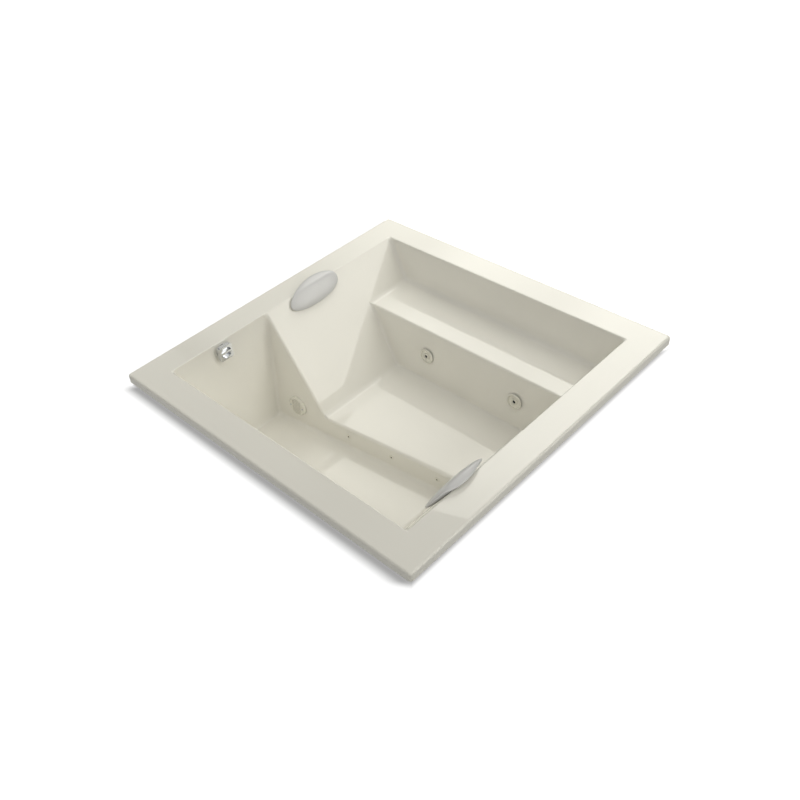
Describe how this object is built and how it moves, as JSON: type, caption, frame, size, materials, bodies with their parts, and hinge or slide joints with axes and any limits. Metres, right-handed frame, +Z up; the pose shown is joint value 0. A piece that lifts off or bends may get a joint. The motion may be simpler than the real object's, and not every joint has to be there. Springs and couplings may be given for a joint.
{
  "type": "drop-in jetted bathtub",
  "caption": "Square drop-in jetted bathtub for two with footwell, lounge floor and bench, head pillows, jets, overflow knob, suction cover, waste, pipes, pump and levelling feet.",
  "frame": {"origin": "middle of the deck in plan, on the floor under the levelling feet", "axes": "+X to the right-hand backrest, +Y to the bench at the rear, +Z up"},
  "size_m": [1.524, 1.524, 0.6392],
  "materials": {
    "acrylic": "polished biscuit-coloured acrylic",
    "pillow_skin": "soft satin skin over foam, silvery grey",
    "timber": "bare softwood and plywood",
    "zinc_steel": "zinc plated",
    "black_rubber": "moulded rubber",
    "chrome": "polished chrome",
    "bright_steel": "ground steel",
    "core_steel": "laminated core steel",
    "waste_plastic": "black moulded plastic",
    "pipe_plastic": "white pipe plastic",
    "pump_plastic": "dark glass-filled plastic",
    "motor_paint": "blue-grey enamel"
  },
  "bodies": {
    "bath": {"tub_shell": "acrylic", "rim_battens": "timber", "base_board": "timber", "lounge_bearers": "timber", "bench_posts": "timber", "support_rails": "zinc_steel", "foot_studs": "zinc_steel", "foot_pads": "black_rubber", "overflow_body": "waste_plastic", "overflow_gasket": "black_rubber", "overflow_flange": "chrome", "overflow_pipe": "waste_plastic", "waste_tee": "waste_plastic", "shoe_pipe": "waste_plastic", "slip_nuts": "pipe_plastic", "drain_shoe": "waste_plastic", "drain_gasket": "black_rubber", "drain_flange": "chrome", "stopper_cable": "black_rubber", "suction_body": "pipe_plastic", "suction_gasket": "black_rubber", "suction_nut": "pipe_plastic", "suction_cover": "acrylic", "suction_screws": "zinc_steel", "suction_pipe": "pipe_plastic", "jet_bodies": "pipe_plastic", "jet_gaskets": "black_rubber", "jet_nuts": "pipe_plastic", "step_jets": "acrylic", "step_jet_nuts": "pipe_plastic", "step_manifold": "pipe_plastic", "water_manifold": "pipe_plastic", "air_manifold": "pipe_plastic", "air_inlet": "pump_plastic", "pump_casing": "pump_plastic", "pump_back_plate": "pump_plastic", "shaft_seal": "black_rubber", "motor_stator": "core_steel", "motor_bearings": "bright_steel", "motor_housing": "motor_paint", "motor_end_shields": "motor_paint", "fan_cover": "motor_paint", "terminal_box": "pump_plastic", "cable_gland": "pump_plastic", "pump_bracket": "zinc_steel", "pump_isolators": "black_rubber", "pump_unions": "pump_plastic"},
    "knob": {"overflow_knob": "chrome", "knob_spindle": "bright_steel"},
    "stopper": {"drain_stopper": "chrome"},
    "left_ring": {"left_jet_ring": "acrylic"},
    "left_nozzle": {"left_jet_nozzle": "acrylic"},
    "right_ring": {"right_jet_ring": "acrylic"},
    "right_nozzle": {"right_jet_nozzle": "acrylic"},
    "pump_rotor": {"impeller": "pump_plastic", "motor_shaft": "bright_steel", "motor_rotor": "core_steel", "cooling_fan": "pump_plastic"},
    "left_cushion": {"left_pillow": "pillow_skin"},
    "right_cushion": {"right_pillow": "pillow_skin"}
  },
  "joints": [
    {"name": "overflow_turn", "type": "hinge", "parent": "bath", "child": "knob", "pos_m": [-0.63385, -0.387, 0.563], "axis": [0.9997, 0, 0.0244], "range_deg": [0, 90]},
    {"name": "stopper_lift", "type": "slide", "parent": "bath", "child": "stopper", "axis": [0, 0, 1], "range_m": [0, 0.01]},
    {"name": "left_jet_turn", "type": "hinge", "parent": "bath", "child": "left_ring", "pos_m": [-0.16398, 0.34944, 0.30549], "axis": [0, -0.9925, 0.1219], "range_deg": [0, 90]},
    {"name": "left_jet_tilt", "type": "hinge", "parent": "left_ring", "child": "left_nozzle", "pos_m": [-0.16398, 0.34944, 0.30549], "axis": [1, 0, 0], "range_deg": [-12, 12]},
    {"name": "right_jet_turn", "type": "hinge", "parent": "bath", "child": "right_ring", "pos_m": [0.32309, 0.34944, 0.30549], "axis": [0, -0.9925, 0.1219], "range_deg": [0, 90]},
    {"name": "right_jet_tilt", "type": "hinge", "parent": "right_ring", "child": "right_nozzle", "pos_m": [0.32309, 0.34944, 0.30549], "axis": [1, 0, 0], "range_deg": [-12, 12]},
    {"name": "pump_spin", "type": "hinge", "parent": "bath", "child": "pump_rotor", "pos_m": [-0.382, 0.4927, 0.168], "axis": [1, 0, 0], "continuous": true},
    {"name": "left_pillow_off", "type": "slide", "parent": "bath", "child": "left_cushion", "axis": [0.5736, 0, 0.8192], "range_m": [0, 0.15]},
    {"name": "right_pillow_off", "type": "slide", "parent": "bath", "child": "right_cushion", "axis": [-0.6018, 0, 0.7986], "range_m": [0, 0.15]}
  ],
  "couplings": [
    {"joint": "stopper_lift", "follows": "overflow_turn", "m_per_rad": 0.0063}
  ]
}
